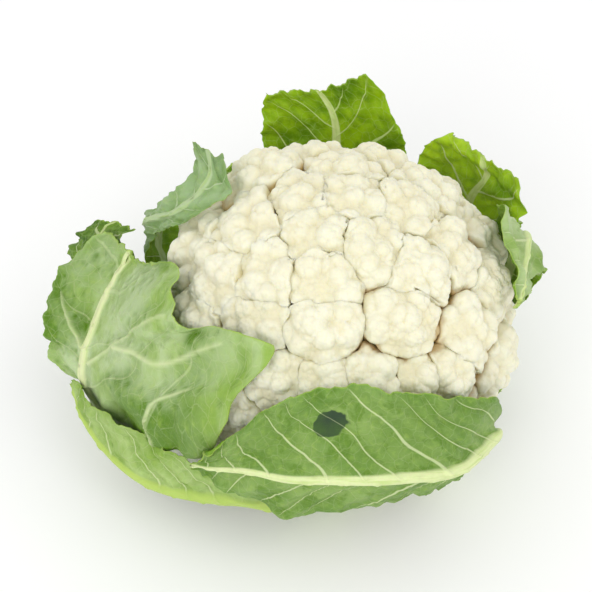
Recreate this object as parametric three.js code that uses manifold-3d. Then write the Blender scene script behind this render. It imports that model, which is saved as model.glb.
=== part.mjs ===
// A head of cauliflower, standing on the cut face of its stalk: florets on short branches round the
// stalk's core, and trimmed leaves that grow from the stalk and wrap up round the curd.
// Units are millimetres. +Z is up, the origin is the middle of the stalk's cut face, and -Y is the front.
// Azimuths are degrees about +Z, anticlockwise from +X, so that -90 is the front and 90 the back.
import * as THREE from "three";
import { ParametricGeometry } from "three/addons/geometries/ParametricGeometry.js";
import { mergeVertices } from "three/addons/utils/BufferGeometryUtils.js";
import Module from "manifold-3d";

const wasm = await Module();
wasm.setup();

// ---- Driving dimensions ----

// The curd is a dome: a wide half ellipsoid over a shallower one, about the middle of its widest level.
const CURD = { height: 84, radius: 89, rise: 84, drop: 58 };
const CORE_RADIUS = 27; // the branching heart of the stalk, which the florets grow from
// Florets within the neighbour angle of each other, in degrees, share a wall.
const FLORET = { radius: 26, branchAngle: 17, foot: 29.5, gap: 0.7, facets: 2, neighbourAngle: 70 };
// The stalk's [radius, height] from the rim of its cut face up to its neck.
const STALK = [[23, 0], [25, 2], [26, 12], [24, 24], [19, 40]];
const STALK_SIDES = 24;
const CORE_ANGLES = { first: -50, last: 90, step: 20 }; // latitudes of the heart's outline, in degrees
const GAP = 0.4; // clearance that every piece keeps from its neighbours
const BLADE = 1.8; // thickness of a leaf blade
// The rib's half width is never over the widest share of the half blade beside it.
const RIB = { footThickness: 11, tipThickness: 2.6, footHalfWidth: 11, tipHalfWidth: 3, widestShare: 0.3 };
// Where a blade's columns of points lie, from its left margin to its right. The middle one is the crest
// of the rib, and the two beside it are moved out to the rib's edges.
const COLUMNS = [-1, -0.7, -0.4, 0, 0, 0, 0.4, 0.7, 1];
const CREST = 4;
const STATIONS_PER_ROW = 2;
const SAME_POINT = 1e-3; // points nearer than this are one

// Every floret's direction from the middle of the curd, [azimuth, latitude] in degrees, by ring from the top,
// and how far a forward one stands out from the dome. The last one sits between two rings at the front left.
const FLORETS = [
  [[20, 86]],
  [[178, 77], [-115, 74], [-62, 69], [84, 68], [5, 66]],
  [[-172, 60], [135, 50, 6], [-103, 60], [-133, 54], [-41, 54], [-14, 49], [32, 50], [66, 50], [100, 47]],
  [[-99, 44], [-60, 43], [-156, 42], [-126, 39], [-35, 25], [-9, 26]],
  [[174, 30], [-151, 26], [-112, 25], [-96, 25], [-80, 24], [-65, 20], [-50, 17]],
  [[16, 24], [44, 24], [72, 24], [98, 20], [124, 22], [150, 24]],
  [[-20, -2], [10, -3], [42, -3], [76, -4], [110, -3], [142, -3], [174, -2], [-156, -4], [-131, -8]],
  [[-107, -8], [-80, -7], [-50, -8], [-131, 12]],
].flat();

// Each leaf is rows of points from its foot in the stalk to its trimmed end. A row is its left edge, its rib
// and its right edge, as [azimuth, radius, height]; left and right are as seen from outside, tip up.
const LEAVES = {
  front_leaf: [
    [[-52, 18, 11], [-26, 17, 10], [0, 18, 13]],
    [[-46, 46, 14], [-30, 46, 14], [-14, 46, 19]],
    [[-45, 72, 26], [-34, 74, 30], [-22, 74, 38]],
    [[-43, 83, 45], [-37, 89, 64], [-40, 91, 96]],
    [[-50, 86, 47], [-45, 92, 70], [-47, 90, 106]],
    [[-58, 86, 48], [-57, 95, 73], [-57, 89, 116]],
    [[-71, 86, 50], [-72, 95, 82], [-72, 84, 127]],
    [[-91, 87, 52], [-90, 94, 85], [-88, 81, 132]],
    [[-104, 92, 47], [-104, 94, 82], [-102, 84, 128]],
    [[-115, 94, 58], [-116, 95, 80], [-112, 89, 117]],
    [[-130, 98, 62], [-132, 98, 67], [-125, 97, 82]],
  ],
  left_low_leaf: [
    [[-114, 18, 10], [-88, 17, 9], [-62, 18, 12]],
    [[-106, 44, 13], [-92, 44, 13], [-77, 44, 19]],
    [[-110, 62, 18], [-105, 66, 24], [-99, 66, 36]],
    [[-122, 75, 23], [-121, 83, 38], [-120, 87, 54]],
    [[-134, 84, 22], [-133, 93, 36], [-133, 94, 61]],
    [[-147, 97, 20], [-146, 107, 35], [-145, 102, 64]],
    [[-157, 109, 22], [-158, 117, 37], [-157, 112, 62]],
    [[-167, 119, 32], [-168, 125, 43], [-167, 122, 57]],
    [[-174, 127, 45], [-175, 128, 49], [-174, 127, 54]],
  ],
  left_leaf: [
    [[166, 18, 12], [192, 17, 11], [218, 18, 13]],
    [[176, 46, 17], [191, 46, 15], [206, 46, 19]],
    [[180, 82, 26], [190, 82, 22], [200, 81, 27]],
    [[181, 115, 36], [188, 112, 30], [202, 105, 44]],
    [[181, 127, 47], [187, 117, 42], [213, 97, 55]],
    [[181, 136, 54], [186, 120, 50], [229, 92, 69]],
    [[180, 140, 58], [185, 121, 56], [236, 93, 94]],
    [[179, 141, 62], [184, 120, 63], [239, 87, 116]],
    [[178, 142, 67], [182, 118, 69], [248, 73, 140]],
    [[174, 142, 75], [179, 114, 77], [231, 74, 141]],
    [[170, 139, 84], [175, 110, 85], [215, 83, 131]],
    [[167, 134, 91], [172, 106, 92], [207, 80, 136]],
    [[165, 125, 101], [169, 102, 99], [198, 75, 140]],
    [[162, 116, 107], [167, 99, 106], [188, 83, 132]],
  ],
  far_left_leaf: [
    [[125, 18, 12], [150, 17, 11], [175, 18, 13]],
    [[140, 46, 17], [154, 46, 15], [168, 46, 18]],
    [[147, 82, 28], [158, 84, 25], [169, 82, 27]],
    [[149, 108, 46], [160, 110, 42], [171, 108, 44]],
    [[152, 138, 54], [161, 126, 56], [169, 116, 62]],
    [[156, 147, 68], [161, 131, 73], [166, 118, 79]],
    [[156, 142, 81], [159, 126, 88], [163, 112, 96]],
    [[155, 132, 95], [157, 118, 103], [161, 103, 110]],
  ],
  shoulder_leaf: [
    [[146, 18, 27], [170, 17, 26], [194, 18, 28]],
    [[150, 46, 36], [164, 46, 34], [178, 46, 36]],
    [[142, 84, 52], [154, 85, 49], [166, 84, 52]],
    [[141, 99, 76], [151, 98, 73], [161, 96, 76]],
    [[143, 105, 91], [151, 102, 92], [159, 97, 95]],
    [[150, 107, 103], [156, 99, 109], [162, 91, 112]],
    [[156, 92, 123], [162, 86, 125], [167, 81, 125]],
    [[161, 82, 139], [168, 75, 139], [173, 69, 140]],
    [[161, 74, 148], [167, 65, 149], [174, 58, 151]],
    [[155, 72, 156], [161, 60, 158], [172, 48, 160]],
    [[147, 79, 156], [150, 68, 158], [151, 59, 158]],
  ],
  back_leaf: [
    [[66, 18, 27], [92, 17, 26], [118, 18, 28]],
    [[76, 46, 36], [92, 46, 34], [108, 46, 36]],
    [[78, 82, 52], [91, 84, 50], [104, 82, 52]],
    [[71, 98, 82], [90, 100, 80], [109, 98, 82]],
    [[69, 102, 108], [89, 102, 104], [110, 103, 110]],
    [[73, 105, 124], [90, 105, 121], [110, 105, 126]],
    [[82, 110, 145], [94, 109, 134], [109, 107, 138]],
  ],
  upper_right_leaf: [
    [[41, 18, 12], [65, 17, 11], [89, 18, 13]],
    [[46, 48, 21], [60, 48, 19], [74, 48, 22]],
    [[42, 84, 42], [55, 86, 38], [68, 84, 42]],
    [[34, 101, 72], [50, 102, 69], [65, 99, 73]],
    [[28, 102, 97], [46, 101, 96], [64, 99, 100]],
    [[25, 98, 110], [42, 100, 113], [62, 98, 118]],
    [[32, 104, 124], [44, 101, 124], [55, 102, 128]],
  ],
  right_leaf: [
    [[-5, 18, 12], [20, 17, 11], [45, 18, 13]],
    [[14, 48, 20], [28, 48, 17], [42, 48, 21]],
    [[16, 82, 38], [28, 83, 36], [38, 82, 40]],
    [[14, 94, 66], [25, 95, 68], [35, 94, 76]],
    [[9, 96, 90], [19, 93, 99], [27, 88, 111]],
    [[5, 99, 108], [12, 90, 120], [18, 78, 136]],
    [[-1, 90, 113], [0, 85, 124], [2, 73, 143]],
    [[-11, 86, 119], [-10, 83, 126], [-8, 79, 134]],
    [[-20, 85, 123], [-20, 84, 125], [-19, 83, 128]],
  ],
  right_low_leaf: [
    [[-32, 18, 27], [-6, 17, 26], [20, 18, 28]],
    [[-22, 44, 33], [-6, 44, 31], [10, 44, 33]],
    [[-20, 68, 40], [-8, 68, 38], [4, 68, 40]],
    [[-20, 78, 50], [-10, 80, 48], [2, 78, 50]],
    [[-17, 81, 55], [-12, 82, 55], [-5, 81, 56]],
  ],
  back_low_leaf: [
    [[82, 18, 12], [105, 17, 11], [128, 18, 13]],
    [[94, 48, 18], [108, 48, 16], [122, 48, 19]],
    [[98, 86, 32], [112, 88, 29], [126, 86, 33]],
    [[98, 108, 56], [114, 112, 53], [130, 109, 57]],
    [[100, 112, 76], [115, 115, 75], [129, 112, 78]],
    [[106, 114, 86], [116, 116, 87], [125, 114, 87]],
  ],
};

// ---- Solids ----

const radians = THREE.MathUtils.degToRad;

/** A point from its azimuth in degrees, radius and height. */
function around([azimuth, radius, height]) {
  const a = radians(azimuth);
  return new THREE.Vector3(radius * Math.cos(a), radius * Math.sin(a), height);
}

/** A closed geometry as a manifold-3d solid. */
function solidOf(geometry) {
  const bare = geometry.clone();
  bare.deleteAttribute("normal");
  bare.deleteAttribute("uv");
  const merged = mergeVertices(bare, SAME_POINT);
  const mesh = new wasm.Mesh({
    numProp: 3,
    vertProperties: merged.attributes.position.array,
    triVerts: new Uint32Array(merged.index.array),
  });
  return new wasm.Manifold(mesh);
}

/** The largest body of a solid, as a BufferGeometry. */
function largestBody(solid) {
  const bodies = solid.decompose().sort((a, b) => b.volume() - a.volume());
  const mesh = bodies[0].getMesh();
  const points = new Float32Array(mesh.numVert * 3);
  for (let i = 0; i < mesh.numVert; i++) {
    points.set(mesh.vertProperties.subarray(i * mesh.numProp, i * mesh.numProp + 3), i * 3);
  }
  return new THREE.BufferGeometry()
    .setAttribute("position", new THREE.BufferAttribute(points, 3))
    .setIndex(new THREE.BufferAttribute(mesh.triVerts, 1));
}

/** The stalk: a cut face to stand on, a neck that the leaves leave, and the heart under the florets. */
function stalkGeometry(grow = 0) {
  const core = CORE_RADIUS + grow;
  const profile = [new THREE.Vector2(0, -grow)];
  for (const [radius, height] of STALK) {
    profile.push(new THREE.Vector2(radius + grow, height === 0 ? -grow : height));
  }
  for (let angle = CORE_ANGLES.first; angle < CORE_ANGLES.last; angle += CORE_ANGLES.step) {
    const a = radians(angle);
    profile.push(new THREE.Vector2(core * Math.cos(a), CURD.height + core * Math.sin(a)));
  }
  profile.push(new THREE.Vector2(0, CURD.height + core));
  return new THREE.LatheGeometry(profile, STALK_SIDES).rotateX(Math.PI / 2);
}

/** The unit direction of a floret from the middle of the curd. */
function directionOf([azimuth, latitude]) {
  return around([azimuth, Math.cos(radians(latitude)), Math.sin(radians(latitude))]);
}

/** How far the curd's outline lies from its middle along a unit direction. */
function curdReach(direction) {
  const vertical = direction.z > 0 ? CURD.rise : CURD.drop;
  const flat = Math.hypot(direction.x, direction.y) / CURD.radius;
  return 1 / Math.hypot(flat, direction.z / vertical);
}

/** One floret: a round head on a tapered branch, kept inside its own share of the curd. */
function floretGeometry(index) {
  const middle = new THREE.Vector3(0, 0, CURD.height);
  const directions = FLORETS.map(directionOf);
  const own = directions[index];
  const outline = curdReach(own) + (FLORETS[index][2] ?? 0);
  const centre = own.clone().multiplyScalar(outline - FLORET.radius);
  // Planes that the floret stays behind: one half way to each neighbour, and one at the foot of its branch.
  const walls = directions
    .filter((other) => other !== own && other.angleTo(own) < radians(FLORET.neighbourAngle))
    .map((other) => ({ normal: other.clone().sub(own).normalize(), at: -FLORET.gap / 2 }));
  walls.push({ normal: own.clone().negate(), at: -FLORET.foot });
  const geometry = new THREE.IcosahedronGeometry(1, FLORET.facets);
  const points = geometry.attributes.position;
  const ray = new THREE.Vector3();
  const branch = radians(FLORET.branchAngle);
  for (let i = 0; i < points.count; i++) {
    ray.fromBufferAttribute(points, i).normalize();
    const inward = Math.acos(THREE.MathUtils.clamp(-ray.dot(own), -1, 1));
    const taper = (centre.length() * Math.sin(branch)) / Math.max(Math.sin(inward + branch), 0.05);
    let reach = inward < Math.PI / 2 ? Math.max(FLORET.radius, taper) : FLORET.radius;
    for (const { normal, at } of walls) {
      const along = ray.dot(normal);
      if (along > 1e-6) reach = Math.min(reach, (at - centre.dot(normal)) / along);
    }
    ray.multiplyScalar(reach).add(centre).add(middle);
    points.setXYZ(i, ray.x, ray.y, ray.z);
  }
  return geometry;
}

/** A value between the four rows round a place, on a smooth curve. */
function smooth(a, b, c, d, t) {
  const tight = 0.5;
  const m0 = (c - a) * tight;
  const m1 = (d - b) * tight;
  const t2 = t * t;
  const t3 = t2 * t;
  return (2 * t3 - 3 * t2 + 1) * b + (t3 - 2 * t2 + t) * m0 + (3 * t2 - 2 * t3) * c + (t3 - t2) * m1;
}

/** The left edge, rib and right edge of a leaf at a share of its length, as [azimuth, radius, height]. */
function rowAt(rows, along) {
  const place = along * (rows.length - 1);
  const i = Math.min(Math.floor(place), rows.length - 2);
  const near = [i - 1, i, i + 1, i + 2].map((k) => rows[THREE.MathUtils.clamp(k, 0, rows.length - 1)]);
  return [0, 1, 2].map((side) =>
    [0, 1, 2].map((axis) => smooth(...near.map((row) => row[side][axis]), place - i)),
  );
}

/** The point on a leaf's inner face; across runs from -1 at the left edge to 1 at the right. */
function bladePoint(rows, along, across) {
  const [left, rib, right] = rowAt(rows, along);
  const edge = across < 0 ? left : right;
  return around(rib.map((value, axis) => value + (edge[axis] - value) * Math.abs(across)));
}

/** The outward unit normal of a leaf's inner face. */
function bladeNormal(rows, along, across) {
  const step = 0.01;
  const a = bladePoint(rows, Math.min(along + step, 1), across);
  const b = bladePoint(rows, Math.max(along - step, 0), across);
  const c = bladePoint(rows, along, Math.min(across + step, 1));
  const d = bladePoint(rows, along, Math.max(across - step, -1));
  return c.sub(d).cross(a.sub(b)).normalize();
}

/** A leaf as one closed skin: out along the ribbed outer face, and back along the inner face. */
function leafGeometry(rows, grow = 0) {
  const last = COLUMNS.length - 1;
  const stations = STATIONS_PER_ROW * (rows.length - 1);
  const skin = (around01, along, target) => {
    const step = Math.round(around01 * 2 * last);
    const outside = step <= last;
    const column = outside ? step : 2 * last - step;
    const [left, rib, right] = rowAt(rows, along).map(around);
    const half = { left: left.distanceTo(rib), right: right.distanceTo(rib) };
    const ribHalf = THREE.MathUtils.lerp(RIB.footHalfWidth, RIB.tipHalfWidth, along);
    let across = COLUMNS[column];
    if (column === CREST - 1) across = -Math.min(ribHalf / half.left, RIB.widestShare);
    if (column === CREST + 1) across = Math.min(ribHalf / half.right, RIB.widestShare);
    const normal = bladeNormal(rows, along, across);
    const crest = THREE.MathUtils.lerp(RIB.footThickness, RIB.tipThickness, Math.sqrt(along));
    const thickness = column === CREST ? crest : BLADE;
    const rim = across < 0 ? half.left : half.right;
    if (Math.abs(across) === 1) across *= 1 + grow / rim;
    const pinched = column === 0 || column === last || along === 0 || along === 1;
    const lift = pinched ? BLADE / 2 : outside ? thickness + grow : -grow;
    target.copy(bladePoint(rows, along, across)).addScaledVector(normal, lift);
  };
  return new ParametricGeometry(skin, 2 * last, stations);
}

/** The solids of the leaves, each cut clear of the stalk and of the leaves before it. */
function leafSolids() {
  const made = new Map();
  const cutters = [solidOf(stalkGeometry(GAP))];
  for (const [name, rows] of Object.entries(LEAVES)) {
    let solid = solidOf(leafGeometry(rows));
    for (const cutter of cutters) solid = solid.subtract(cutter);
    made.set(name, solid);
    cutters.push(solidOf(leafGeometry(rows, GAP)));
  }
  return { made, cutters: cutters.slice(1) };
}

// ---- The head ----

const look = (color, roughness) => new THREE.MeshStandardMaterial({ color, roughness, metalness: 0 });
const MATERIALS = {
  curd: look("#efe8cf", 0.7),
  stalk: look("#c9d6a0", 0.6),
  leaf: look("#7fa352", 0.55),
};

const cauliflower = new THREE.Group();

/** Adds one named piece to the head. */
function addPiece(name, geometry, material) {
  const mesh = new THREE.Mesh(geometry, material);
  mesh.name = name;
  cauliflower.add(mesh);
}

addPiece("stalk", stalkGeometry(), MATERIALS.stalk);
const leaves = leafSolids();
for (const [name, solid] of leaves.made) addPiece(name, largestBody(solid), MATERIALS.leaf);
FLORETS.forEach((place, index) => {
  let solid = solidOf(floretGeometry(index));
  for (const cutter of leaves.cutters) solid = solid.subtract(cutter);
  addPiece(`floret_${String(index + 1).padStart(2, "0")}`, largestBody(solid), MATERIALS.curd);
});

export default cauliflower;
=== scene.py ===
"""A head of cauliflower: the curd's florets, the leaves that wrap it and its cut stalk, on a pale floor."""

import logging
import math
from dataclasses import dataclass, field
from enum import Enum

import bmesh
import bpy
import numpy as np
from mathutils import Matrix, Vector


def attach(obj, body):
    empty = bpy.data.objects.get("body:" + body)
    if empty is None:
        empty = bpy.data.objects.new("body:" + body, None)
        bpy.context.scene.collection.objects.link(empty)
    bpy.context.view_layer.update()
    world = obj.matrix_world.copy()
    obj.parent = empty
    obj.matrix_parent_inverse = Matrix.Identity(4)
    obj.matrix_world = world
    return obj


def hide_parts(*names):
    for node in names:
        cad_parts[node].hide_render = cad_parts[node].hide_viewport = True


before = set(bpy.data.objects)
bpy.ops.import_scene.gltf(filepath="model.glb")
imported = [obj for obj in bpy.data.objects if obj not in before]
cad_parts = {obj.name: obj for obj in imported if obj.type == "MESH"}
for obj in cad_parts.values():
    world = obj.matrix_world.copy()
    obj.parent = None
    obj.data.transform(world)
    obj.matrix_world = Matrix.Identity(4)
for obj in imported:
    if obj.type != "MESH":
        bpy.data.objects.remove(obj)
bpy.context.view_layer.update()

LOG = logging.getLogger("cauliflower")
MM = 0.001
GOLDEN_ANGLE = math.pi * (3 - math.sqrt(5))

Array = np.ndarray


# ---- Shader maths ----


class Value:
    """A shader socket that Python's arithmetic works on; each operation adds a Math node."""

    def __init__(self, kit: "ShaderKit", socket: bpy.types.NodeSocket) -> None:
        """Wraps a socket.

        Args:
            socket: an output socket.
        """
        self.kit = kit
        self.socket = socket

    def _math(self, operation: str, *inputs: "Value | float") -> "Value":
        """Adds one Math node."""
        return self.kit.node("ShaderNodeMath", {"operation": operation}, dict(enumerate(inputs)))

    def __add__(self, other: "Value | float") -> "Value":
        """self + other."""
        return self._math("ADD", self, other)

    def __radd__(self, other: float) -> "Value":
        """other + self."""
        return self._math("ADD", other, self)

    def __sub__(self, other: "Value | float") -> "Value":
        """self - other."""
        return self._math("SUBTRACT", self, other)

    def __rsub__(self, other: float) -> "Value":
        """other - self."""
        return self._math("SUBTRACT", other, self)

    def __mul__(self, other: "Value | float") -> "Value":
        """self * other."""
        return self._math("MULTIPLY", self, other)

    def __rmul__(self, other: float) -> "Value":
        """other * self."""
        return self._math("MULTIPLY", other, self)

    def __truediv__(self, other: "Value | float") -> "Value":
        """self / other."""
        return self._math("DIVIDE", self, other)

    def __pow__(self, power: float) -> "Value":
        """self to a power."""
        return self._math("POWER", self, power)

    def sine(self) -> "Value":
        """The sine of a value in radians."""
        return self._math("SINE", self)

    def size(self) -> "Value":
        """The value without its sign."""
        return self._math("ABSOLUTE", self)

    def part(self) -> "Value":
        """The part after the whole number below it."""
        return self._math("FRACT", self)

    def over(self, level: float) -> "Value":
        """1 where the value is over a level, otherwise 0."""
        return self._math("GREATER_THAN", self, level)

    def most(self, other: "Value | float") -> "Value":
        """The larger of two values."""
        return self._math("MAXIMUM", self, other)

    def rise(self, low: float, high: float) -> "Value":
        """A smooth step from 0 at low to 1 at high; low may be the larger."""
        settings = {"interpolation_type": "SMOOTHSTEP", "clamp": True}
        if low < high:
            return self.kit.node("ShaderNodeMapRange", settings, {0: self, 1: low, 2: high})
        return 1.0 - self.kit.node("ShaderNodeMapRange", settings, {0: self, 1: high, 2: low})


Number = float | Array | Value


def sine(x: Array | Value) -> Array | Value:
    """The sine of a shader value or of an array."""
    return x.sine() if isinstance(x, Value) else np.sin(x)


def size(x: Array | Value) -> Array | Value:
    """A shader value or an array without its sign."""
    return x.size() if isinstance(x, Value) else np.abs(x)


def part(x: Array | Value) -> Array | Value:
    """The part after the whole number, of a shader value or an array."""
    return x.part() if isinstance(x, Value) else x - np.floor(x)


def over(x: Array | Value, level: float) -> Array | Value:
    """1 where a shader value or an array is over a level, otherwise 0."""
    return x.over(level) if isinstance(x, Value) else (x > level).astype(float)


def rise(x: Array, low: float, high: float) -> Array:
    """A smooth step over an array, from 0 at low to 1 at high; low may be the larger."""
    t = np.clip((x - low) / (high - low), 0.0, 1.0)
    return t * t * (3 - 2 * t)


class Feature(Enum):
    """The distances that a cell pattern can give."""

    MIDDLE = "F1"
    EDGE = "DISTANCE_TO_EDGE"


class ShaderKit:
    """A new material and the nodes that are added to it."""

    def __init__(self, name: str) -> None:
        """Makes an empty node material.

        Args:
            name: the material's name.
        """
        self.material = bpy.data.materials.new(name)
        self.material.use_nodes = True
        self.tree = self.material.node_tree
        self.tree.nodes.clear()

    def node(self, kind: str, settings: dict, inputs: dict, output: int | str = 0) -> Value:
        """Adds a node.

        Args:
            kind: the node's type.
            settings: its properties, set before its sockets.
            inputs: sockets by name or number, each a Value to link or a plain value.
            output: which output to hand back.

        Returns:
            The output as a Value.
        """
        made = self.tree.nodes.new(kind)
        for key, value in settings.items():
            setattr(made, key, value)
        for key, value in inputs.items():
            if isinstance(value, Value):
                self.tree.links.new(value.socket, made.inputs[key])
            else:
                made.inputs[key].default_value = value
        return Value(self, made.outputs[output])

    def attribute(self, name: str) -> Value:
        """A number that the mesh carries at its vertices."""
        return self.node("ShaderNodeAttribute", {"attribute_name": name}, {}, "Fac")

    def place(self) -> Value:
        """The point's own place on the object, in metres."""
        return self.node("ShaderNodeTexCoord", {}, {}, "Object")

    def noise(self, where: Value, scale: float, detail: float = 3.0, roughness: float = 0.5) -> Value:
        """Smooth noise from 0 to 1.

        Args:
            where: the coordinates it is read at.
            scale: patches for each unit of the coordinates.
            detail: how many finer layers it has.
            roughness: how strong the finer layers are.

        Returns:
            The noise.
        """
        inputs = {"Vector": where, "Scale": scale, "Detail": detail, "Roughness": roughness}
        return self.node("ShaderNodeTexNoise", {}, inputs)

    def cells(self, where: Value, scale: float, feature: Feature, flat: bool = False) -> Value:
        """The distance that a cell pattern gives.

        Args:
            where: the coordinates it is read at.
            scale: cells for each unit of the coordinates.
            feature: which distance, to a cell's middle or to its edge.
            flat: whether the pattern lies in the plane of two coordinates.

        Returns:
            The distance.
        """
        settings = {"feature": feature.value, "voronoi_dimensions": "2D" if flat else "3D"}
        return self.node("ShaderNodeTexVoronoi", settings, {"Vector": where, "Scale": scale}, "Distance")

    def mix(self, share: Value | float, first: "Value | Colour", second: "Value | Colour") -> Value:
        """A colour between two, all of the second where share is 1."""
        inputs = {0: share, 6: linear(first), 7: linear(second)}
        return self.node("ShaderNodeMix", {"data_type": "RGBA"}, inputs, 2)

    def bump(self, height: Value, distance: float, strength: float) -> Value:
        """A normal bent by a height.

        Args:
            height: the height, in units of distance.
            distance: metres that a height of 1 stands for.
            strength: how much of the bend is used.

        Returns:
            The normal.
        """
        inputs = {"Strength": strength, "Distance": distance, "Height": height}
        return self.node("ShaderNodeBump", {}, inputs)

    def surface(self, inputs: dict) -> bpy.types.Material:
        """Ends the material with a Principled BSDF.

        Args:
            inputs: the shader's sockets by name.

        Returns:
            The finished material.
        """
        shader = self.node("ShaderNodeBsdfPrincipled", {}, inputs)
        end = self.tree.nodes.new("ShaderNodeOutputMaterial")
        self.tree.links.new(shader.socket, end.inputs["Surface"])
        return self.material


@dataclass(frozen=True)
class Colour:
    """A colour as it is seen on a screen, each part from 0 to 255."""

    red: int
    green: int
    blue: int

    def rgba(self) -> tuple[float, float, float, float]:
        """The colour in linear light, with an alpha of 1."""
        parts = [v / 255 for v in (self.red, self.green, self.blue)]
        light = [v / 12.92 if v <= 0.04045 else ((v + 0.055) / 1.055) ** 2.4 for v in parts]
        return (light[0], light[1], light[2], 1.0)


def linear(colour: "Value | Colour") -> "Value | tuple[float, float, float, float]":
    """A colour as a node's socket takes it; a Value passes through."""
    return colour.rgba() if isinstance(colour, Colour) else colour


# ---- Meshes ----


def finish_piece(bm: bmesh.types.BMesh, name: str) -> bpy.types.Object:
    """Turns a bmesh into a smooth-shaded object at the origin.

    Args:
        bm: the bmesh, which is freed.
        name: the object's name.

    Returns:
        The object, linked into the scene.
    """
    mesh = bpy.data.meshes.new(name)
    bm.to_mesh(mesh)
    bm.free()
    mesh.shade_smooth()
    piece = bpy.data.objects.new(name, mesh)
    bpy.context.scene.collection.objects.link(piece)
    return piece


def points_of(mesh: bpy.types.Mesh) -> Array:
    """A mesh's vertices as an array of rows."""
    flat = np.empty(len(mesh.vertices) * 3)
    mesh.vertices.foreach_get("co", flat)
    return flat.reshape(-1, 3)


def set_points(mesh: bpy.types.Mesh, points: Array) -> None:
    """Moves a mesh's vertices."""
    mesh.vertices.foreach_set("co", points.astype(np.float32).ravel())
    mesh.update()


def set_number(mesh: bpy.types.Mesh, name: str, values: Array) -> None:
    """Gives a mesh a number at each vertex, for its material to read."""
    layer = mesh.attributes.new(name, "FLOAT", "POINT")
    layer.data.foreach_set("value", values.astype(np.float32).ravel())


def stand_for(piece: bpy.types.Object, node: str, material: bpy.types.Material) -> None:
    """Gives a piece its material and its place in the frame.

    Args:
        piece: the piece.
        node: the CAD node that it replaces.
        material: its finish.
    """
    piece.data.materials.append(material)
    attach(piece, "root")
    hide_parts(node)
    LOG.info("%s: %d faces", piece.name, len(piece.data.polygons))


def unit(vectors: Array) -> Array:
    """Rows of an array at length 1."""
    return vectors / np.maximum(np.linalg.norm(vectors, axis=-1, keepdims=True), 1e-12)


def around(azimuth: Array | float, radius: Array | float, height: Array | float) -> Array:
    """Points from azimuths in degrees, radii and heights."""
    a = np.radians(azimuth)
    return np.stack([radius * np.cos(a), radius * np.sin(a), height + 0 * a], axis=-1)


# The sine hash that scatters the seeds. The numbers only have to be unlike each other.
HASH_ROW = np.array([127.1, 311.7, 74.7])
HASH_SEED = 17.3
HASH_SPREAD = 43758.5453
HASH_TURNS = (0.0, 2.1, 4.7)
NO_SEED = 9.0


def nearest_seed(points: Array, cell: float, seed: int) -> Array:
    """How far each point is from the nearest of a field of scattered seeds, one in each cube of space.

    Args:
        points: rows of coordinates.
        cell: the side of a cube, in the same units.
        seed: picks the field.

    Returns:
        The distances, in cubes' sides.
    """
    scaled = points / cell
    home = np.floor(scaled)
    nearest = np.full(len(points), NO_SEED)
    steps = (-1, 0, 1)
    for step in np.array([(x, y, z) for x in steps for y in steps for z in steps]):
        cube = home + step
        key = cube @ HASH_ROW + seed * HASH_SEED
        scatter = [part(np.sin(key + turn) * HASH_SPREAD) for turn in HASH_TURNS]
        gap = cube + np.stack(scatter, axis=-1) - scaled
        nearest = np.minimum(nearest, np.linalg.norm(gap, axis=-1))
    return nearest


WAVES = ((1.0, 0.5), (0.57, 0.3), (0.31, 0.2))  # each wave's share of the length, and its weight


@dataclass(frozen=True)
class Ripple:
    """A smooth irregular wave along a line, from -1 to 1: three sines of unlike lengths."""

    length: float
    seed: int

    def at(self, x: Array) -> Array:
        """The wave at places along the line."""
        random = np.random.default_rng(self.seed)
        total = np.zeros_like(x)
        for share, weight in WAVES:
            total += weight * np.sin(math.tau * x / (self.length * share) + random.uniform(0, math.tau))
        return total


# ---- The curd ----


@dataclass(frozen=True)
class CurdFinish:
    """Matt, faintly granular curd: cream on the buds, straw painted shade in the creases, and deep down the
    branches' ochre and green, darkened as painted shade.
    """

    bud: Colour = Colour(234, 232, 209)
    shade: Colour = Colour(230, 226, 199)
    crease_shade: Colour = Colour(220, 208, 158)
    gap: Colour = Colour(178, 142, 72)
    deep: Colour = Colour(104, 118, 34)

    def build(self) -> bpy.types.Material:
        """Makes the material."""
        kit = ShaderKit("curd")
        place = kit.place()
        crease_shade = kit.attribute("crease_shade")
        depth = kit.attribute("depth")
        patches = kit.noise(place, 70, 4)
        stain = kit.noise(place, 160, 3)
        colour = kit.mix(patches.rise(0.35, 0.72), self.bud, self.shade)
        # Painted shade: the creases between lobes, buds and florets are darkened to straw.
        colour = kit.mix(crease_shade * (0.5 + 0.7 * stain), colour, self.crease_shade)
        # Deep in the gaps: the branches' ochre and green, darkened as painted shade the further a point lies
        # below the dome.
        colour = kit.mix(depth.rise(0.2, 0.75) * (0.45 + 0.7 * stain), colour, self.gap)
        colour = kit.mix(depth.rise(0.7, 1.0) * stain.rise(0.4, 0.6), colour, self.deep)
        grains = kit.cells(place, 1000, Feature.MIDDLE)
        fine = kit.noise(place, 2600, 2)
        normal = kit.bump(1.0 - grains + 0.4 * fine, 0.0004, 0.4)
        return kit.surface({
            "Base Color": colour,
            "Roughness": 0.6,
            "Specular IOR Level": 0.3,
            "Subsurface Weight": 0.4,
            "Subsurface Radius": (1.0, 0.85, 0.5),
            "Subsurface Scale": 0.0035,
            "Normal": normal,
        })


@dataclass(frozen=True)
class Place:
    """Where a floret sits on the curd.

    The azimuth and latitude are degrees from the middle of the curd. The radius in millimetres is small on
    a round floret that stands apart and large on a flat one. It stands forward millimetres proud of the dome.
    The merge is how widely its rim rolls over into the seams round it, in millimetres.
    """

    azimuth: float
    latitude: float
    radius: float = 28
    forward: float = 0
    merge: float = 6

    def direction(self) -> Array:
        """The unit vector from the middle of the curd."""
        tilt = math.radians(self.latitude)
        return around(self.azimuth, math.cos(tilt), math.sin(tilt))


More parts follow.
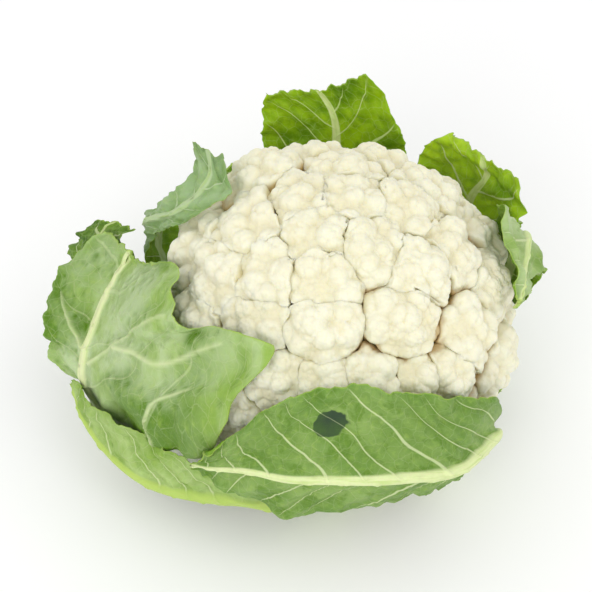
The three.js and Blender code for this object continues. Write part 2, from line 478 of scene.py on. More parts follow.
FLORETS = (
    Place(20, 86, 30),
    Place(178, 77, 36, 0, 4.5), Place(-115, 74, 32, 0, 4.5), Place(-62, 69, 23), Place(84, 68, 27),
    Place(5, 66, 26),
    Place(-172, 60, 38, 0, 4.5), Place(135, 50, 30, 4), Place(-103, 60, 26), Place(-133, 54, 34, 0, 4.5),
    Place(-41, 54, 22, 0.5), Place(-14, 49, 22, 0.5), Place(32, 50, 26), Place(66, 50, 27),
    Place(100, 47, 27),
    Place(-99, 44, 23), Place(-60, 43, 22, 0.5), Place(-156, 42, 34, 0, 4.5), Place(-126, 39, 28, 0, 4.5),
    Place(-35, 25, 22), Place(-9, 26, 22),
    Place(174, 30, 32), Place(-151, 26, 28), Place(-112, 25, 20), Place(-96, 25, 20),
    Place(-80, 24, 20), Place(-65, 20, 20), Place(-50, 17, 20),
    Place(16, 24), Place(44, 24), Place(72, 24), Place(98, 20), Place(124, 22), Place(150, 24),
    Place(-20, -2), Place(10, -3), Place(42, -3), Place(76, -4), Place(110, -3), Place(142, -3),
    Place(174, -2), Place(-156, -4), Place(-131, -8),
    Place(-107, -8), Place(-80, -7), Place(-50, -8), Place(-131, 12, 25),
)


@dataclass(frozen=True)
class Cleft:
    """A place where the seams stand open and show the branches below: where, how far it reaches, how wide."""

    azimuth: float
    latitude: float
    reach: float
    width: float

    def widen(self, points: Array, dome: float) -> Array:
        """How much half a seam is widened at points, in millimetres.

        Args:
            points: places from the middle of the curd, in millimetres.
            dome: how far out the dome is there.

        Returns:
            The widening at each point.
        """
        tilt = math.radians(self.latitude)
        middle = around(self.azimuth, math.cos(tilt), math.sin(tilt)) * dome
        away = np.linalg.norm(points - middle, axis=-1)
        return self.width * np.exp(-((away / self.reach) ** 2))


CLEFTS = (
    Cleft(-33, 46, 8, 3.6), Cleft(-40, 41, 7, 2.6), Cleft(-94, 76, 6, 2.2), Cleft(-95, 68, 6, 2.0),
    Cleft(-36, 62, 6, 2.0), Cleft(-70, 58, 7, 1.4), Cleft(-47, 34, 7, 1.6), Cleft(-123, 68, 6, 1.2),
    Cleft(-158, 17, 8, 2.0), Cleft(-132, 50, 6, 1.0), Cleft(65, 64, 6, 1.6),
)


LOBE_SEED = 100
ASKEW = (0.3, 0.5, 0.81)  # along no floret's own direction
FACING = 1e-3
NO_WALL = 99.0
SEAM_PASSES = 2


@dataclass
class Curd:
    """The dome of florets. Sizes are in millimetres.

    The cap is the part of a floret that lobes cover. A gap below 0 makes neighbours overlap in their seams.
    Each of lobe_crease, bud_crease and seam_crease, for the painted shade in the creases, and deep_gap, for
    the painted shade deep in a gap, is the depth where it starts and the depth where it is full, and
    lobe_sizes is the range of the lobes' sizes.
    """

    middle: float = 84
    across: float = 89
    rise: float = 84
    drop: float = 58
    foot: float = 29.5
    branch_angle: float = 17
    gap: float = -0.6
    waver: float = 2.5
    seam_ease: float = 1.2
    lobe_radius: float = 8.0
    lobe_area: float = 125
    lobe_proud: float = 0.3
    bud: float = 5.6
    bud_height: float = 4.0
    grain: float = 2.3
    grain_height: float = 1.0
    detail: int = 6
    cap_width: float = 36
    cap_limit: float = 1.75
    fewest_lobes: int = 6
    lobe_sizes: tuple[float, float] = (0.75, 1.2)
    lean_jitter: float = 0.07
    turn_jitter: float = 0.2
    proud_jitter: float = 0.7
    roundness: float = 0.95
    bud_share: float = 0.8
    grain_share: float = 0.85
    core_sunk: float = 0.9
    stem_share: float = 0.9
    narrowest: float = 0.05
    neighbour_angle: float = 70
    furthest_wall: float = 60
    least_reach: float = 0.8
    lobe_crease: tuple[float, float] = (1.0, 4.5)
    bud_crease: tuple[float, float] = (0.9, 2.9)
    seam_crease: tuple[float, float] = (0.8, 4.5)
    deep_gap: tuple[float, float] = (6.0, 16.0)
    even: float = 0.42
    crowded: float = 0.58
    crowding: int = 6
    finish: CurdFinish = field(default_factory=CurdFinish)

    def reach(self, directions: Array) -> Array:
        """How far the dome lies from its middle along unit directions."""
        vertical = np.where(directions[..., 2] > 0, self.rise, self.drop)
        flat = np.linalg.norm(directions[..., :2], axis=-1) / self.across
        return 1 / np.hypot(flat, directions[..., 2] / vertical)

    def wander(self, points: Array) -> Array:
        """How far the seam between two florets strays at points, so that no seam is straight."""
        x, y, z = points.T
        long = np.sin(x / 3.6 + 0.7 * z / 3.1) * np.cos(y / 3.9 + 1.3)
        short = np.sin(y / 2.0 + z / 2.5) * np.cos(x / 2.2 + 0.4)
        return self.waver * (0.68 * long + 0.32 * short)

    def lobes(self, own: Array, place: Place, index: int) -> tuple[Array, Array]:
        """The rounded lobes that cover a floret's outside.

        Args:
            own: the floret's unit direction.
            place: where it sits.
            index: its number, which seeds its variety.

        Returns:
            The lobes' middles from the floret's own middle, and their radii.
        """
        random = np.random.default_rng(LOBE_SEED + index)
        spread = min(self.cap_width / place.radius, self.cap_limit)
        cap = math.tau * place.radius**2 * (1 - math.cos(spread))
        count = max(int(cap / self.lobe_area), self.fewest_lobes)
        k = np.arange(count)
        lean = np.arccos(1 - (k + 0.5) / count * (1 - math.cos(spread)))
        lean = lean + random.normal(0, self.lean_jitter, count)
        turn = k * GOLDEN_ANGLE + random.uniform(0, math.tau) + random.normal(0, self.turn_jitter, count)
        side = unit(np.cross(own, ASKEW))
        other = np.cross(own, side)
        flat = np.cos(turn)[:, None] * side + np.sin(turn)[:, None] * other
        towards = np.cos(lean)[:, None] * own + np.sin(lean)[:, None] * flat
        radii = self.lobe_radius * random.uniform(*self.lobe_sizes, count)
        out = place.radius - (1 - self.lobe_proud) * radii + random.normal(0, self.proud_jitter, count)
        return towards * out[:, None], radii

    def domes(self, points: Array, cell: float, share: float, seed: int) -> Array:
        """How high small domes stand at points: 1 on a top, less towards the seams between them."""
        return np.sqrt(1 - self.roundness * np.minimum(nearest_seed(points, cell, seed), share) ** 2)

    def buds(self, points: Array) -> Array:
        """How far the buds and their grains fall away from their tops at points, in millimetres."""
        bud = self.domes(points, self.bud, self.bud_share, 1)
        grain = self.domes(points, self.grain, self.grain_share, 2)
        return self.bud_height * (1 - bud) + self.grain_height * (1 - grain)

    def floret(self, index: int, directions: Array) -> tuple[Array, Array, Array]:
        """The surface of one floret.

        Args:
            index: its number in the list.
            directions: unit directions from its own middle.

        Returns:
            Its points in millimetres, how much painted shade of the creases each point takes, and how deep in
            a gap it lies, which sets the gap's painted shade, both 0 to 1.
        """
        place = FLORETS[index]
        own = place.direction()
        crest = place.radius + self.lobe_proud * self.lobe_radius
        outline = float(self.reach(own)) + place.forward
        centre = own * (outline - crest)
        reach = np.full(len(directions), place.radius - self.core_sunk)
        for middle, radius in zip(*self.lobes(own, place, index)):
            along = directions @ middle
            inside = along**2 - middle @ middle + radius**2
            reach = np.maximum(reach, np.where(inside > 0, along + np.sqrt(np.maximum(inside, 0)), 0))
        fall = self.buds(centre + directions * reach[:, None])
        # Painted shade: how far each point lies down in the creases between lobes, buds and seams, which the
        # material darkens to straw.
        between_lobes = 0.5 * rise(crest - reach, *self.lobe_crease)
        crease_shade = np.maximum(between_lobes, 0.85 * rise(fall, *self.bud_crease))
        free = reach - fall
        reach = free
        inward = np.arccos(np.clip(-directions @ own, -1, 1))
        branch = math.radians(self.branch_angle)
        widest = np.minimum(inward + branch, math.pi - self.narrowest)
        spread = np.maximum(np.sin(widest), self.narrowest)
        taper = np.linalg.norm(centre) * math.sin(branch) / spread
        stem = inward < math.pi / 2
        reach = np.where(stem, np.maximum(np.minimum(reach, place.radius * self.stem_share), taper), reach)
        for other, place_there in enumerate(FLORETS):
            there = place_there.direction()
            apart = math.acos(np.clip(there @ own, -1, 1))
            if other == index or apart > math.radians(self.neighbour_angle):
                continue
            normal = unit(there - own)
            along = directions @ normal
            facing = along > FACING
            sign = 1.0 if other > index else -1.0
            slant = np.where(facing, along, 1)
            wall = np.where(facing, (-self.gap / 2 - centre @ normal) / slant, NO_WALL)
            for _ in range(SEAM_PASSES):
                there_points = centre + directions * np.clip(wall, 0, self.furthest_wall)[:, None]
                stray = sign * self.wander(there_points) + self.gap / 2
                for cleft in CLEFTS:
                    stray = stray + cleft.widen(there_points, outline)
                wall = np.where(facing, (-stray - centre @ normal) / slant, NO_WALL)
            eased = wall + self.seam_ease / slant
            roll = np.clip(1 - np.abs(reach - eased) / place.merge, 0, 1)
            rolled = np.minimum(reach, eased) - roll**2 * place.merge / 4
            reach = np.minimum(rolled, np.maximum(wall, 1.0))
        rearward = directions @ own < -FACING
        foot = (self.foot - centre @ own) / np.where(rearward, directions @ own, -1)
        reach = np.where(rearward, np.minimum(reach, foot), reach)
        points = centre + directions * np.maximum(reach, self.least_reach)[:, None]
        # How far below the dome a point lies, which the material turns into painted shade deep in the gaps.
        sunk = self.reach(unit(points)) + place.forward - np.linalg.norm(points, axis=-1)
        crease_shade = np.maximum(crease_shade, rise(free - reach, *self.seam_crease))
        return points, crease_shade, rise(sunk, *self.deep_gap)

    def build(self) -> None:
        """Makes every floret."""
        material = self.finish.build()
        for index, place in enumerate(FLORETS):
            name = f"floret_{index + 1:02d}"
            bm = bmesh.new()
            bmesh.ops.create_icosphere(bm, subdivisions=self.detail, radius=1.0)
            piece = finish_piece(bm, f"{name}_head")
            own = place.direction()
            sphere = unit(points_of(piece.data))
            lean = np.arccos(np.clip(sphere @ own, -1, 1)) / math.pi
            packed = math.pi * (self.even * lean + self.crowded * lean**self.crowding)
            flat = unit(sphere - own * (sphere @ own)[:, None])
            directions = unit(np.cos(packed)[:, None] * own + np.sin(packed)[:, None] * flat)
            points, crease_shade, depth = self.floret(index, directions)
            set_points(piece.data, (points + [0, 0, self.middle]) * MM)
            set_number(piece.data, "crease_shade", crease_shade)
            set_number(piece.data, "depth", depth)
            stand_for(piece, name, material)


# ---- The leaves ----


MM_PER_CM = 10


@dataclass(frozen=True)
class Venation:
    """The side veins of a leaf, in centimetres out from the rib and along it.

    They leave the rib at a slope and bend towards the tip. The phase shifts their sway, and uneven is how
    irregular their spacing is.
    """

    spacing: float = 2.3
    slope: float = 0.75
    bend: float = 0.05
    phase: float = 0.0
    uneven: float = 0.25

    def distance(self, out: Number, along: Number) -> Number:
        """How far a place on the blade is from its nearest side vein.

        Args:
            out: centimetres from the rib, negative to its left.
            along: centimetres from the leaf's foot.

        Returns:
            The distance in centimetres. It takes arrays and shader values alike.
        """
        aside = size(out)
        sway = 0.16 * sine(0.9 * along + 1.3 * out + self.phase) + 0.07 * sine(2.9 * aside + self.phase)
        row = (along - self.slope * aside - self.bend * aside * aside + sway) / self.spacing
        row = row + 0.45 * over(out, 0.0)
        row = row + self.uneven * sine(1.9 * row + self.phase)
        return (0.5 - size(part(row) - 0.5)) * (self.spacing * 0.75)


@dataclass(frozen=True)
class LeafFinish:
    """Waxy green leaf: a greyer outer face, a brighter inner one, pale ribs and a fine net of veins.

    The net, the side veins and the spots of deeper green each have a strength. The hollow's colour is
    painted shade, the dark of a sunk hollow, and shine is how glossy the face is.
    """

    outer: Colour = Colour(180, 200, 146)
    outer_deep: Colour = Colour(138, 168, 78)
    inner: Colour = Colour(114, 154, 6)
    inner_deep: Colour = Colour(78, 118, 0)
    patch: Colour = Colour(96, 134, 18)
    rib: Colour = Colour(212, 224, 158)
    rib_green: Colour = Colour(174, 202, 96)
    vein: Colour = Colour(206, 218, 164)
    margin: Colour = Colour(160, 188, 78)
    hollow_shade: Colour = Colour(22, 50, 30)
    net: float = 0.2
    side: float = 0.8
    spotted: float = 0.3
    shine: float = 0.35

    def build(self, name: str, veins: Venation) -> bpy.types.Material:
        """Makes the material of one leaf.

        Args:
            name: the leaf's name.
            veins: its side veins.

        Returns:
            The material.
        """
        kit = ShaderKit(name)
        blade = kit.node("ShaderNodeUVMap", {"uv_map": "Blade"}, {})
        split = kit.node("ShaderNodeSeparateXYZ", {}, {0: blade}, "X")
        along = Value(kit, split.socket.node.outputs["Y"])
        out = split
        aside = kit.attribute("aside")
        outside = kit.attribute("outside")
        from_vein = veins.distance(out, along)
        reach = 1.0 - aside
        side_vein = (from_vein / (0.022 + 0.06 * reach)).rise(1.0, 0.4) * reach.rise(0.0, 0.15)
        bent = kit.noise(blade, 1.1, 2, 0.5)
        warp = {0: bent, 1: (0.5, 0.5, 0), 2: blade}
        warped = kit.node("ShaderNodeVectorMath", {"operation": "MULTIPLY_ADD"}, warp)
        net = kit.cells(warped, 1.7, Feature.EDGE, True).rise(0.05, 0.01)
        fine = kit.cells(warped, 4.6, Feature.EDGE, True).rise(0.08, 0.02)
        rib = kit.attribute("rib").rise(1.15, 0.8)
        drawn = kit.node("ShaderNodeVectorMath", {"operation": "MULTIPLY"}, {0: blade, 1: (7, 0.45, 1)})
        streak = kit.noise(drawn, 1, 3, 0.6).rise(0.45, 0.68)
        spots = kit.noise(blade, 0.6, 5, 0.62).rise(0.5, 0.6)
        broad = kit.noise(blade, 0.42, 4, 0.55)
        mottle = kit.noise(blade, 3.0, 4, 0.6)
        deep = broad.rise(0.38, 0.68) * 0.75 + aside.rise(0.55, 1.0) * 0.35
        outer = kit.mix(deep, self.outer, self.outer_deep)
        inner = kit.mix(broad.rise(0.4, 0.7), self.inner, self.inner_deep)
        colour = kit.mix(outside, inner, outer)
        # Deeper green from the spots and from the green number, which is also painted shade in the valleys
        # and folds.
        colour = kit.mix((spots * self.spotted).most(kit.attribute("green")), colour, self.patch)
        colour = kit.mix(mottle.rise(0.45, 0.8) * 0.35, colour, self.margin)
        ragged = kit.noise(blade, 0.8, 3, 0.5)
        # Painted shade: the dent's hollow turns near black-green, standing in for the shade inside it.
        hollow_shade = (kit.attribute("hollow") + 1.5 * (ragged - 0.5)).rise(0.45, 0.55)
        colour = kit.mix(hollow_shade * 0.94, colour, kit.mix(broad.rise(0.4, 0.7) * 0.4, self.hollow_shade, self.patch))
        colour = kit.mix((net * 0.75 + fine * 0.3) * self.net * (1.0 - hollow_shade), colour, self.vein)
        pale = (side_vein * self.side).most(kit.attribute("pale")) * (0.9 - 0.55 * hollow_shade)
        colour = kit.mix(pale, colour, self.vein)
        streaked = kit.mix(streak * 0.5, self.rib, self.rib_green)
        colour = kit.mix(rib * (0.75 + 0.25 * mottle), colour, streaked)
        colour = kit.mix(aside.rise(0.985, 1.0) * 0.7, colour, self.margin)
        raised = side_vein * 0.8 + net * 0.25 + fine * 0.1 + mottle * 0.3
        normal = kit.bump(raised, 0.0007, 0.5)
        return kit.surface({
            "Base Color": colour,
            "Roughness": 0.42 + 0.16 * mottle,
            "Specular IOR Level": self.shine,
            "Subsurface Weight": 0.12,
            "Subsurface Radius": (0.4, 1.0, 0.2),
            "Subsurface Scale": 0.002,
            "Normal": normal,
        })


@dataclass(frozen=True)
class Ridge:
    """A line on a blade, such as a strong side vein or a fold.

    Its points are millimetres along the rib and out from it, negative to the left. It stands height
    millimetres proud, or sinks where that is negative, and a pale one is drawn as a vein.
    """

    points: tuple[tuple[float, float], ...]
    width: float = 1.3
    height: float = 0.9
    pale: bool = True

    def profile(self, along: Array, out: Array) -> Array:
        """How near places are to the line: 1 on it, falling to 0 at its width and thinner towards its end."""
        line = np.array(self.points, float)
        for _ in range(3):
            cut = np.stack([0.75 * line[:-1] + 0.25 * line[1:], 0.25 * line[:-1] + 0.75 * line[1:]], axis=1)
            line = np.concatenate([line[:1], cut.reshape(-1, 2), line[-1:]])
        best = np.zeros(along.shape)
        for number, (start, end) in enumerate(zip(line, line[1:])):
            step = end - start
            share = ((along - start[0]) * step[0] + (out - start[1]) * step[1]) / max(step @ step, 1e-9)
            share = np.clip(share, 0, 1)
            gap = np.hypot(along - start[0] - share * step[0], out - start[1] - share * step[1])
            thin = 1 - 0.45 * number / len(line)
            best = np.maximum(best, rise(gap / (self.width * thin), 1.4, 0.0) * thin)
        return best


@dataclass(frozen=True)
class Patch:
    """A patch of deeper green on a blade: where it is, along and out in millimetres, its reach and depth. On
    a sunk fold it is painted shade.
    """

    along: float
    out: float
    reach: float
    depth: float

    def cover(self, along: Array, out: Array) -> Array:
        """How much of the patch's green places have."""
        return self.depth * np.exp(-(((along - self.along) ** 2 + (out - self.out) ** 2) / self.reach**2))


@dataclass(frozen=True)
class Relief:
    """The relief that every blade has: its toothed margin, swell, quilting, blisters, veins and thin rim.

    Lengths and heights are in millimetres, and a share is a strength. Free and vein are where an effect
    starts and where it is full. Crowding over 1 draws the columns towards the rib. The waves of the right
    margin are other_side further along than the left's, so that the two differ. Rim is a share of the way
    to the margin, and skirt is in half widths of the rib.
    """

    free: tuple[float, float] = (55, 85)
    crowding: float = 1.25
    other_side: float = 777.0
    least_half: float = 6
    scallop: float = 34
    scallop_share: float = 0.55
    tooth: float = 7.5
    tooth_share: float = 0.45
    tip: float = 14
    tip_tooth: float = 9
    tip_share: float = 0.8
    end: float = 25
    end_share: float = 0.7
    swell: float = 58
    swell_height: float = 1.8
    quilt_height: float = 0.8
    blister_along: float = 11
    blister_out: float = 9
    blister_height: float = 0.9
    skirt: float = 1.9
    skirt_share: float = 0.12
    vein: tuple[float, float] = (1.5, 0.2)
    vein_height: float = 0.55
    rim: float = 0.93
    rim_share: float = 0.75


RELIEF = Relief()

Row = tuple[tuple[float, float, float], tuple[float, float, float], tuple[float, float, float]]


@dataclass
class Leaf:
    """One leaf: its foot in the stalk, its rib and its blade.

    Each row is the blade's left edge, rib and right edge, as azimuth in degrees, radius and height in
    millimetres; left and right are as seen from outside, tip up. The rows run from the foot to the end.
    A dent is where a hollow is, along and out, then its reach and depth; its hollow is painted dark as
    painted shade. Clear is how far the blade stays from the dome, and lowest is the least height it has above
    the floor.
    """

    name: str
    rows: tuple[Row, ...]
    veins: Venation = field(default_factory=Venation)
    finish: LeafFinish = field(default_factory=LeafFinish)
    seed: int = 1
    frill: float = 2.5
    frill_length: float = 26
    teeth: float = 1.6
    columns: int = 84
    steps: int = 140
    blade: float = 0.9
    rib_width: tuple[float, float] = (9.0, 1.3)
    rib_height: tuple[float, float] = (8.0, 0.7)
    clear: float = 1.6
    lowest: float = 0.3
    dent: tuple[float, float, float, float] | None = None
    ridges: tuple[Ridge, ...] = ()
    patches: tuple[Patch, ...] = ()

    def row_at(self, along: Array) -> Array:
        """The edges and rib at shares of the rows, on a smooth curve: an array of [share, side, axis]."""
        rows = np.array(self.rows, float)
        place = along * (len(rows) - 1)
        i = np.minimum(np.floor(place).astype(int), len(rows) - 2)
        t = (place - i)[:, None, None]
        before, here, there, beyond = (rows[np.clip(i + k, 0, len(rows) - 1)] for k in (-1, 0, 1, 2))
        pull = (there - before) / 2
        push = (beyond - here) / 2
        blend = (2 * t**3 - 3 * t**2 + 1) * here + (3 * t**2 - 2 * t**3) * there
        return blend + (t**3 - 2 * t**2 + t) * pull + (t**3 - t**2) * push

    def even_steps(self) -> tuple[Array, Array]:
        """Shares of the rows that are evenly far apart along the rib, and their distances from the foot."""
        share = np.linspace(0, 1, 400)
        rib = self.row_at(share)[:, 1]
        line = around(rib[:, 0], rib[:, 1], rib[:, 2])
        far = np.concatenate([[0], np.cumsum(np.linalg.norm(np.diff(line, axis=0), axis=-1))])
        even = np.linspace(0, far[-1], self.steps + 1)
        return np.interp(even, far, share), even

    def blade_points(self) -> dict[str, Array]:
        """The blade on its grid of steps by columns.

        Returns:
            Its points in millimetres and its outward normals, and for each point the centimetres out from the
            rib, along it and from a side vein, the shares of the way to the margin and of the length, and how
            hollow, pale and green it is, each 0 to 1; the green holds painted shade in the valleys and folds.
        """
        share, along = self.even_steps()
        rows = self.row_at(share)
        slide = np.linspace(-1, 1, self.columns + 1)
        across = np.sign(slide) * np.abs(slide) ** RELIEF.crowding
        left, rib, right = (rows[:, k][:, None, :] for k in range(3))
        edge = np.where(across[None, :, None] < 0, left, right)
        ends = {k: around(rows[:, k, 0], rows[:, k, 1], rows[:, k, 2]) for k in range(3)}
        half_left = np.linalg.norm(ends[0] - ends[1], axis=-1)[:, None]
        half_right = np.linalg.norm(ends[2] - ends[1], axis=-1)[:, None]
        half = np.where(across[None, :] < 0, half_left, half_right)
        length = along[-1]
        far = along[:, None] + 0 * across[None, :]
        sided = far + np.where(across[None, :] < 0, 0.0, RELIEF.other_side)
        free = rise(far, *RELIEF.free)
        scallop = RELIEF.scallop_share * Ripple(RELIEF.scallop, self.seed).at(sided)
        notch = scallop + RELIEF.tooth_share * Ripple(RELIEF.tooth, self.seed + 1).at(sided)
        stretch = 1 + free * self.teeth * notch / np.maximum(half, RELIEF.least_half)
        aside = np.abs(across)[None, :] + 0 * far
        cylinder = rib + (edge - rib) * (aside * stretch)[..., None]
        points = around(cylinder[..., 0], cylinder[..., 1], cylinder[..., 2])
        tip_tooth = Ripple(RELIEF.tip_tooth, self.seed + 2).at(across[None, :] * half + 31)
        run = unit(np.gradient(points, axis=0))
        near_tip = rise(far, length - RELIEF.tip, length)
        points = points + run * (near_tip * self.teeth * RELIEF.tip_share * tip_tooth)[..., None]
        normal = unit(np.cross(np.gradient(points, axis=1), np.gradient(points, axis=0)))
        near_end = RELIEF.end_share * rise(far, length - RELIEF.end, length)
        margin = np.maximum(rise(aside, 0.35, 1.0) ** 1.6, near_end) * free
        wave = Ripple(self.frill_length, self.seed + 3).at(sided)
        swell = Ripple(RELIEF.swell, self.seed + 4).at(far + 40 * across[None, :])
        lift = self.frill * margin * wave + RELIEF.swell_height * free * swell * rise(aside, 0.0, 0.4)
        out_cm = across[None, :] * half * stretch / MM_PER_CM
        out = out_cm * MM_PER_CM
        from_vein = self.veins.distance(out_cm, far / MM_PER_CM)
        quilt = free * rise(aside, 0.03, 0.2) * (1 - rise(aside, 0.9, 1.0))
        valley = quilt * np.cos(math.tau * from_vein / self.veins.spacing)
        blister = Ripple(RELIEF.blister_along, self.seed + 5).at(far)
        blister = blister * Ripple(RELIEF.blister_out, self.seed + 6).at(out)
        lift = lift - RELIEF.quilt_height * valley
        lift = lift + RELIEF.blister_height * free * blister * rise(aside, 0.05, 0.3)
        pale = np.zeros_like(far)
        for ridge in self.ridges:
            near = ridge.profile(far, out)
            lift = lift + ridge.height * near
            pale = np.maximum(pale, near * ridge.pale)
        # Painted shade: deeper green in the quilted valleys and the sunk blisters.
        green = np.clip(0.3 * valley - 0.5 * blister, 0, 1)
        for patch in self.patches:
            green = green + patch.cover(far, out)
        hollow = np.zeros_like(far)
        if self.dent:
            dent_along, dent_out, dent_size, dent_depth = self.dent
            gap = np.hypot(far - dent_along, across[None, :] * half - dent_out) / dent_size
            hollow = np.exp(-(gap**2))
            lift = lift - dent_depth * hollow
        points = points + normal * lift[..., None]
        return {
            "points": points, "normal": normal, "out": out_cm, "along": far / MM_PER_CM, "aside": aside,
            "far": far / length, "from_vein": from_vein, "hollow": hollow, "pale": pale,
            "green": np.minimum(green, 1),
        }

    def keep_clear(self, points: Array, curd: Curd) -> Array:
        """Pushes points out of the curd's dome, in millimetres."""
        from_middle = points - [0, 0, curd.middle]
        away = np.linalg.norm(from_middle, axis=-1, keepdims=True)
        least = curd.reach(unit(from_middle))[..., None] + self.clear
        return np.where(away < least, from_middle / away * least, from_middle) + [0, 0, curd.middle]

    def build(self, curd: Curd) -> None:
        """Makes the leaf.

        Args:
            curd: the curd that it stays clear of.
        """
        bm = bmesh.new()
        bmesh.ops.create_grid(bm, x_segments=self.columns, y_segments=self.steps, size=1)
        flat = bm.verts.layers.int.new("outside")
        for vert in bm.verts:
            vert[flat] = 1
        grown = bmesh.ops.extrude_face_region(bm, geom=bm.faces[:], use_keep_orig=True)
        for item in grown["geom"]:
            if isinstance(item, bmesh.types.BMVert):
                item[flat] = 0
        piece = finish_piece(bm, f"{self.name}_blade")
        mesh = piece.data
        grid = points_of(mesh)
        column = np.rint((grid[:, 0] + 1) / 2 * self.columns).astype(int)
        step = np.rint((grid[:, 1] + 1) / 2 * self.steps).astype(int)
        outside = np.empty(len(grid), np.int32)
        mesh.attributes["outside"].data.foreach_get("value", outside)
        mesh.attributes.remove(mesh.attributes["outside"])
        data = {key: value[step, column] for key, value in self.blade_points().items()}
        share = data["far"]
        width = self.rib_width[0] + (self.rib_width[1] - self.rib_width[0]) * share**0.6
        height = self.rib_height[0] + (self.rib_height[1] - self.rib_height[0]) * share**0.5
        rib = np.abs(data["out"]) * MM_PER_CM / width
        skirt = RELIEF.skirt_share * height * rise(rib, RELIEF.skirt, 1.0)
        bulge = height * np.sqrt(np.clip(1 - rib**2, 0, 1)) + skirt
        near_vein = rise(data["from_vein"] * MM_PER_CM, *RELIEF.vein)
        vein = RELIEF.vein_height * near_vein * (1 - data["aside"])
        rim = 1 - RELIEF.rim_share * rise(data["aside"], RELIEF.rim, 1.0)
        thick = self.blade * rim + bulge + vein
        base = self.keep_clear(data["points"], curd)
        points = base + data["normal"] * (thick * outside)[:, None]
        points[:, 2] = np.maximum(points[:, 2], self.lowest)
        set_points(mesh, points * MM)
        set_number(mesh, "outside", outside.astype(float))
        set_number(mesh, "aside", np.maximum(data["aside"], rise(share, RELIEF.rim, 1.0)))
        set_number(mesh, "rib", rib)
        set_number(mesh, "hollow", data["hollow"])
        set_number(mesh, "pale", data["pale"])
        set_number(mesh, "green", data["green"])
        layer = mesh.uv_layers.new(name="Blade")
        corner = np.empty(len(mesh.loops), np.int32)
        mesh.loops.foreach_get("vertex_index", corner)
        both = np.stack([data["out"][corner], data["along"][corner]], axis=-1)
        layer.data.foreach_set("uv", both.astype(np.float32).ravel())
        bm = bmesh.new()
        bm.from_mesh(mesh)
        bmesh.ops.recalc_face_normals(bm, faces=bm.faces[:])
        bm.to_mesh(mesh)
        bm.free()
        stand_for(piece, self.name, self.finish.build(self.name, self.veins))


PALE = LeafFinish()
GREY = LeafFinish(
    outer=Colour(150, 176, 126),
    outer_deep=Colour(128, 158, 100),
    rib=Colour(176, 196, 148),
    vein=Colour(184, 202, 158),
    net=0.15,
)
# Painted light: the bright inner greens stand in for light shining through the leaf.
SUNLIT = LeafFinish(inner=Colour(178, 212, 34), inner_deep=Colour(112, 152, 8), shine=0.15)
INNER = LeafFinish(
    inner=Colour(146, 182, 8),
    inner_deep=Colour(92, 132, 0),
    patch=Colour(66, 104, 4),
    vein=Colour(206, 222, 150),
    shine=0.12,
)
WAXY = LeafFinish(
    outer=Colour(184, 202, 154),
    outer_deep=Colour(142, 174, 74),
    patch=Colour(84, 124, 8),
    rib=Colour(224, 232, 176),
    side=0.3,
)
DARK = LeafFinish(
    outer=Colour(130, 160, 80),
    outer_deep=Colour(90, 130, 36),
    patch=Colour(82, 122, 6),
    rib=Colour(224, 232, 174),
    net=0.15,
    spotted=0.8,
)
# Painted shade: darker greens for the leaf that sits in shade behind the others.
SHADED = LeafFinish(
    outer=Colour(118, 152, 48),
    outer_deep=Colour(72, 110, 18),
    patch=Colour(54, 92, 10),
    spotted=0.5,
    shine=0.2,
)
BRIGHT = LeafFinish(outer=Colour(168, 192, 118), outer_deep=Colour(118, 154, 40), rib=Colour(178, 202, 96))

